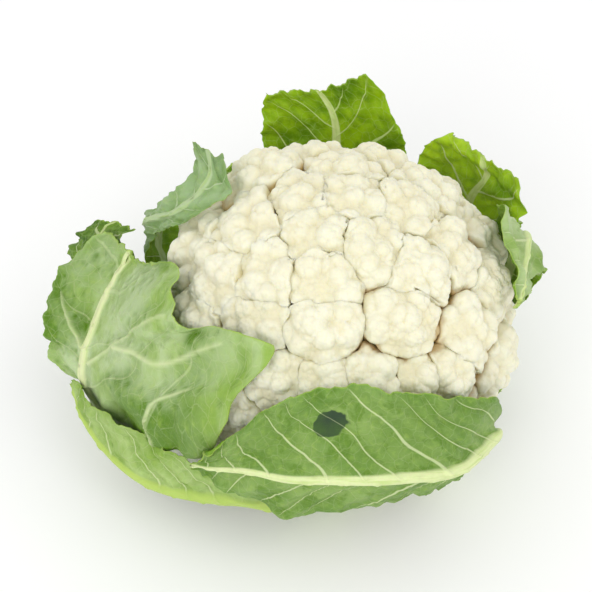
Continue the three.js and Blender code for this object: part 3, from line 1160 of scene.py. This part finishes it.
LEAVES = (
    Leaf(
        "front_leaf",
        (
            ((-52, 18, 11), (-26, 17, 10), (0, 18, 13)),
            ((-46, 46, 14), (-30, 46, 14), (-14, 46, 19)),
            ((-45, 72, 26), (-34, 74, 30), (-22, 74, 38)),
            ((-43, 83, 45), (-37, 89, 64), (-40, 91, 96)),
            ((-50, 86, 47), (-45, 92, 70), (-47, 90, 106)),
            ((-58, 86, 48), (-57, 95, 73), (-57, 89, 116)),
            ((-71, 86, 50), (-72, 95, 82), (-72, 84, 127)),
            ((-91, 87, 52), (-90, 94, 85), (-88, 81, 132)),
            ((-104, 92, 47), (-104, 94, 82), (-102, 84, 128)),
            ((-115, 94, 58), (-116, 95, 80), (-112, 89, 117)),
            ((-130, 98, 62), (-132, 98, 67), (-125, 97, 82)),
        ),
        finish=DARK, veins=Venation(1.9, 0.95, 0.02, 0.4), seed=11, frill=1.5, dent=(199, 29, 8.5, 6),
        patches=(
            Patch(225, 18, 14, 0.5), Patch(150, 30, 16, 0.5),
            Patch(120, 34, 14, 0.4), Patch(178, 16, 10, 0.4),
        ),
    ),
    Leaf(
        "left_low_leaf",
        (
            ((-114, 18, 10), (-88, 17, 9), (-62, 18, 12)),
            ((-106, 44, 13), (-92, 44, 13), (-77, 44, 19)),
            ((-110, 62, 18), (-105, 66, 24), (-99, 66, 36)),
            ((-122, 75, 23), (-121, 83, 38), (-120, 87, 54)),
            ((-134, 84, 22), (-133, 93, 36), (-133, 94, 61)),
            ((-147, 97, 20), (-146, 107, 35), (-145, 102, 64)),
            ((-157, 109, 22), (-158, 117, 37), (-157, 112, 62)),
            ((-167, 119, 32), (-168, 125, 43), (-167, 122, 57)),
            ((-174, 127, 45), (-175, 128, 49), (-174, 127, 54)),
        ),
        finish=BRIGHT, veins=Venation(2.0, 0.9, 0.05, 1.3), seed=23, frill=1.5,
    ),
    Leaf(
        "left_leaf",
        (
            ((166, 18, 12), (192, 17, 11), (218, 18, 13)),
            ((176, 46, 17), (191, 46, 15), (206, 46, 19)),
            ((180, 82, 26), (190, 82, 22), (200, 81, 27)),
            ((181, 115, 36), (188, 112, 30), (202, 105, 44)),
            ((181, 127, 47), (187, 117, 42), (213, 97, 55)),
            ((181, 136, 54), (186, 120, 50), (229, 92, 69)),
            ((180, 140, 58), (185, 121, 56), (236, 93, 94)),
            ((179, 141, 62), (184, 120, 63), (239, 87, 116)),
            ((178, 142, 67), (182, 118, 69), (248, 73, 140)),
            ((174, 142, 75), (179, 114, 77), (231, 74, 141)),
            ((170, 139, 84), (175, 110, 85), (215, 83, 131)),
            ((167, 134, 91), (172, 106, 92), (207, 80, 136)),
            ((165, 125, 101), (169, 102, 99), (198, 75, 140)),
            ((162, 116, 107), (167, 99, 106), (188, 83, 132)),
        ),
        finish=WAXY, veins=Venation(2.6, 0.35, 0.03, 2.2), seed=37, frill=2.8, columns=176, steps=240,
        rib_width=(9, 2.9), rib_height=(8, 1.8),
        ridges=(
            Ridge(((135, 6), (140, 14), (146, 21), (152, 32), (161, 46), (167, 58), (169, 73)), 1.5, 1.2),
            Ridge(((149, 29), (150, 45), (147, 57), (146, 67), (148, 86), (149, 94), (149, 106)), 1.3, 1.2),
            Ridge(((149, 29), (150, 45), (147, 57), (146, 67), (148, 86), (149, 94)), 6, 2.2, False),
            Ridge(((128, 60), (134, 64), (136, 73), (138, 84)), 1.0, 0.7),
            Ridge(((120, 54), (126, 58), (133, 62)), 1.3, 1.0),
            Ridge(((124, 32), (125, 42), (125, 52)), 9, -5, False),
            Ridge(((120, 68), (124, 72), (130, 76)), 5, -3, False),
            Ridge(((140, -4.5), (148, -12), (155, -20), (161, -25)), 1.2, 2.2),
            Ridge(((145, -7), (155, -10), (165, -12)), 5, -3.5, False),
        ),
        # Painted shade: the patches at 126, 42, at 123, 70 and at 149, -8 lie on the sunk folds.
        patches=(
            Patch(143, -24, 10, 0.7), Patch(157, -32, 9, 0.5), Patch(168, -34, 9, 0.6),
            Patch(149, -8, 6, 0.6),
            Patch(150, -26, 24, 0.25), Patch(176, -20, 16, 0.3), Patch(126, 42, 15, 1.0),
            Patch(124, 56, 9, 0.8), Patch(123, 70, 9, 0.8), Patch(127, 84, 13, 0.8),
            Patch(155, 88, 4, 0.8), Patch(149, 100, 16, 0.3), Patch(172, 45, 16, 0.25),
        ),
    ),
    Leaf(
        "far_left_leaf",
        (
            ((125, 18, 12), (150, 17, 11), (175, 18, 13)),
            ((140, 46, 17), (154, 46, 15), (168, 46, 18)),
            ((147, 82, 28), (158, 84, 25), (169, 82, 27)),
            ((149, 108, 46), (160, 110, 42), (171, 108, 44)),
            ((152, 138, 54), (161, 126, 56), (169, 116, 62)),
            ((156, 147, 68), (161, 131, 73), (166, 118, 79)),
            ((156, 142, 81), (159, 126, 88), (163, 112, 96)),
            ((155, 132, 95), (157, 118, 103), (161, 103, 110)),
        ),
        finish=SHADED, veins=Venation(2.0, 0.8, 0.05, 0.9), seed=41, frill=3.5, frill_length=20,
    ),
    Leaf(
        "shoulder_leaf",
        (
            ((146, 18, 27), (170, 17, 26), (194, 18, 28)),
            ((150, 46, 36), (164, 46, 34), (178, 46, 36)),
            ((142, 84, 52), (154, 85, 49), (166, 84, 52)),
            ((141, 99, 76), (151, 98, 73), (161, 96, 76)),
            ((143, 105, 91), (151, 102, 92), (159, 97, 95)),
            ((150, 107, 103), (156, 99, 109), (162, 91, 112)),
            ((156, 92, 123), (162, 86, 125), (167, 81, 125)),
            ((161, 82, 139), (168, 75, 139), (173, 69, 140)),
            ((161, 74, 148), (167, 65, 149), (174, 58, 151)),
            ((155, 72, 156), (161, 60, 158), (172, 48, 160)),
            ((147, 79, 156), (150, 68, 158), (151, 59, 158)),
        ),
        finish=GREY, veins=Venation(2.2, 0.8, 0.05, 1.7), seed=53, frill=1.6,
        rib_width=(7, 1.5), rib_height=(6, 0.4),
    ),
    Leaf(
        "back_leaf",
        (
            ((66, 18, 27), (92, 17, 26), (118, 18, 28)),
            ((76, 46, 36), (92, 46, 34), (108, 46, 36)),
            ((78, 82, 52), (91, 84, 50), (104, 82, 52)),
            ((71, 98, 82), (90, 100, 80), (109, 98, 82)),
            ((69, 102, 108), (89, 102, 104), (110, 103, 110)),
            ((73, 105, 124), (90, 105, 121), (110, 105, 126)),
            ((82, 110, 145), (94, 109, 134), (109, 107, 138)),
        ),
        finish=INNER, veins=Venation(2.2, 0.9, 0.05, 0.2), seed=67, frill=2.8,
    ),
    Leaf(
        "upper_right_leaf",
        (
            ((41, 18, 12), (65, 17, 11), (89, 18, 13)),
            ((46, 48, 21), (60, 48, 19), (74, 48, 22)),
            ((42, 84, 42), (55, 86, 38), (68, 84, 42)),
            ((34, 101, 72), (50, 102, 69), (65, 99, 73)),
            ((28, 102, 97), (46, 101, 96), (64, 99, 100)),
            ((25, 98, 110), (42, 100, 113), (62, 98, 118)),
            ((32, 104, 124), (44, 101, 124), (55, 102, 128)),
        ),
        finish=SUNLIT, veins=Venation(2.0, 0.9, 0.05, 2.9), seed=71, frill=4.5, frill_length=22,
    ),
    Leaf(
        "right_leaf",
        (
            ((-5, 18, 12), (20, 17, 11), (45, 18, 13)),
            ((14, 48, 20), (28, 48, 17), (42, 48, 21)),
            ((16, 82, 38), (28, 83, 36), (38, 82, 40)),
            ((14, 94, 66), (25, 95, 68), (35, 94, 76)),
            ((9, 96, 90), (19, 93, 99), (27, 88, 111)),
            ((5, 99, 108), (12, 90, 120), (18, 78, 136)),
            ((-1, 90, 113), (0, 85, 124), (2, 73, 143)),
            ((-11, 86, 119), (-10, 83, 126), (-8, 79, 134)),
            ((-20, 85, 123), (-20, 84, 125), (-19, 83, 128)),
        ),
        finish=PALE, veins=Venation(2.2, 0.8, 0.05, 1.1), seed=83, frill=2.0,
        patches=(Patch(174, -11, 7, 0.8), Patch(160, -14, 6, 0.5)),
    ),
    Leaf(
        "right_low_leaf",
        (
            ((-32, 18, 27), (-6, 17, 26), (20, 18, 28)),
            ((-22, 44, 33), (-6, 44, 31), (10, 44, 33)),
            ((-20, 68, 40), (-8, 68, 38), (4, 68, 40)),
            ((-20, 78, 50), (-10, 80, 48), (2, 78, 50)),
            ((-17, 81, 55), (-12, 82, 55), (-5, 81, 56)),
        ),
        finish=DARK, veins=Venation(1.8, 0.8, 0.05, 0.6), seed=97, frill=1.5, columns=48, steps=70,
    ),
    Leaf(
        "back_low_leaf",
        (
            ((82, 18, 12), (105, 17, 11), (128, 18, 13)),
            ((94, 48, 18), (108, 48, 16), (122, 48, 19)),
            ((98, 86, 32), (112, 88, 29), (126, 86, 33)),
            ((98, 108, 56), (114, 112, 53), (130, 109, 57)),
            ((100, 112, 76), (115, 115, 75), (129, 112, 78)),
            ((106, 114, 86), (116, 116, 87), (125, 114, 87)),
        ),
        finish=BRIGHT, veins=Venation(2.1, 0.85, 0.05, 2.4), seed=103, frill=3.0,
    ),
)


# ---- The stalk ----


@dataclass(frozen=True)
class StalkFinish:
    """Smooth pale green stalk with a cream cut face, which has a ring at a radius in metres."""

    skin: Colour = Colour(196, 210, 150)
    skin_low: Colour = Colour(216, 218, 178)
    cut: Colour = Colour(232, 226, 196)
    ring: Colour = Colour(204, 206, 152)
    ring_radius: float = 0.0195

    def build(self) -> bpy.types.Material:
        """Makes the material."""
        kit = ShaderKit("stalk")
        place = kit.place()
        split = kit.node("ShaderNodeSeparateXYZ", {}, {0: place}, "X")
        node = split.socket.node
        height = Value(kit, node.outputs["Z"])
        depth = Value(kit, node.outputs["Y"])
        out = (split * split + depth * depth) ** 0.5
        mottle = kit.noise(place, 120, 4, 0.6)
        fibres = kit.noise(place, 900, 2, 0.6)
        skin = kit.mix(mottle.rise(0.35, 0.7), self.skin, self.skin_low)
        cut = kit.mix(mottle.rise(0.4, 0.8) * 0.6, self.cut, self.skin_low)
        cut = kit.mix((out - self.ring_radius).size().rise(0.0022, 0.0004) * 0.8, cut, self.ring)
        colour = kit.mix(height.rise(0.0012, 0.0002), skin, cut)
        normal = kit.bump(mottle + 0.3 * fibres, 0.0008, 0.4)
        return kit.surface({
            "Base Color": colour,
            "Roughness": 0.5 + 0.15 * mottle,
            "Subsurface Weight": 0.2,
            "Subsurface Radius": (1.0, 0.9, 0.5),
            "Subsurface Scale": 0.003,
            "Normal": normal,
        })


@dataclass
class Stalk:
    """The stalk and the heart that the florets branch from. Sizes are in millimetres."""

    cut_radius: float = 25
    neck_radius: float = 19
    neck_height: float = 40
    core_radius: float = 27
    middle: float = 84
    sides: int = 96
    finish: StalkFinish = field(default_factory=StalkFinish)

    def profile(self) -> list[tuple[float, float]]:
        """Radius and height from the middle of the cut face to the top of the heart."""
        line = [(0, 0), (8, 0), (16, 0), (self.cut_radius - 2.4, 0), (self.cut_radius - 0.7, 0.5)]
        line += [(self.cut_radius, 2), (self.cut_radius + 0.8, 7), (self.cut_radius + 1, 12)]
        line += [(self.cut_radius + 0.2, 18), (self.cut_radius - 1, 24), (22, 31), (20, 36)]
        line.append((self.neck_radius, self.neck_height))
        for angle in range(-50, 90, 10):
            a = math.radians(angle)
            line.append((self.core_radius * math.cos(a), self.middle + self.core_radius * math.sin(a)))
        line.append((0, self.middle + self.core_radius))
        return line

    def build(self) -> None:
        """Makes the stalk."""
        bm = bmesh.new()
        corners = [bm.verts.new((r * MM, 0, z * MM)) for r, z in self.profile()]
        edges = [bm.edges.new(pair) for pair in zip(corners, corners[1:])]
        bmesh.ops.spin(
            bm, geom=corners + edges, axis=(0, 0, 1), cent=(0, 0, 0), dvec=(0, 0, 0),
            angle=math.tau, steps=self.sides, use_merge=True,
        )
        bmesh.ops.remove_doubles(bm, verts=bm.verts[:], dist=1e-6)
        bmesh.ops.recalc_face_normals(bm, faces=bm.faces[:])
        piece = finish_piece(bm, "stalk_body")
        stand_for(piece, "stalk", self.finish.build())


# ---- The studio ----


@dataclass
class Studio:
    """The floor, the lights and the camera. Sizes are in millimetres and degrees."""

    elevation: float = 47
    lens: float = 85
    sensor: float = 36
    distance: float = 665.3
    target: tuple[float, float, float] = (-19.0, 7.1, 91.7)

    def floor(self) -> None:
        """Lays the pale floor."""
        bm = bmesh.new()
        bmesh.ops.create_grid(bm, x_segments=1, y_segments=1, size=3)
        piece = finish_piece(bm, "floor")
        kit = ShaderKit("floor")
        piece.data.materials.append(kit.surface({
            "Base Color": (0.95, 0.95, 0.95, 1),
            "Roughness": 0.9,
            "Specular IOR Level": 0.0,
        }))

    def light(self, name: str, place: tuple[float, float, float], size_m: float, power: float) -> None:
        """Hangs a square soft light that faces the head.

        Args:
            name: its name.
            place: where it hangs, in metres.
            size_m: the length of its side in metres.
            power: its power in watts.
        """
        lamp = bpy.data.lights.new(name, "AREA")
        lamp.size = size_m
        lamp.energy = power
        holder = bpy.data.objects.new(name, lamp)
        holder.location = place
        facing = Vector((0, 0, 0.08)) - holder.location
        holder.rotation_euler = facing.to_track_quat("-Z", "Y").to_euler()
        bpy.context.scene.collection.objects.link(holder)

    def sky(self) -> None:
        """Fills the room with even pale light."""
        world = bpy.data.worlds.new("studio")
        world.use_nodes = True
        background = world.node_tree.nodes["Background"]
        background.inputs["Color"].default_value = (1.0, 1.0, 1.0, 1)
        background.inputs["Strength"].default_value = 0.95
        bpy.context.scene.world = world

    def camera(self) -> None:
        """Sets up the camera, in front of the head and above it."""
        tilt = math.radians(self.elevation)
        data = bpy.data.cameras.new("camera")
        data.lens = self.lens
        data.sensor_width = self.sensor
        holder = bpy.data.objects.new("camera", data)
        back = Vector((0, -math.cos(tilt), math.sin(tilt)))
        holder.location = (Vector(self.target) + back * self.distance) * MM
        holder.rotation_euler = (math.pi / 2 - tilt, 0, 0)
        bpy.context.scene.collection.objects.link(holder)
        bpy.context.scene.camera = holder

    def build(self) -> None:
        """Makes the whole studio."""
        bpy.context.scene.view_settings.view_transform = "Standard"
        self.camera()
        self.floor()
        self.sky()
        self.light("key", (-0.5, -1.3, 1.0), 0.8, 6.5)
        self.light("fill", (0.9, -0.6, 1.4), 1.2, 3)


def main() -> None:
    """Builds the head and its studio."""
    logging.basicConfig(level=logging.INFO, format="%(message)s")
    Studio().build()
    curd = Curd()
    Stalk(middle=curd.middle).build()
    for leaf in LEAVES:
        leaf.build(curd)
    curd.build()


if __name__ == "__main__":
    main()
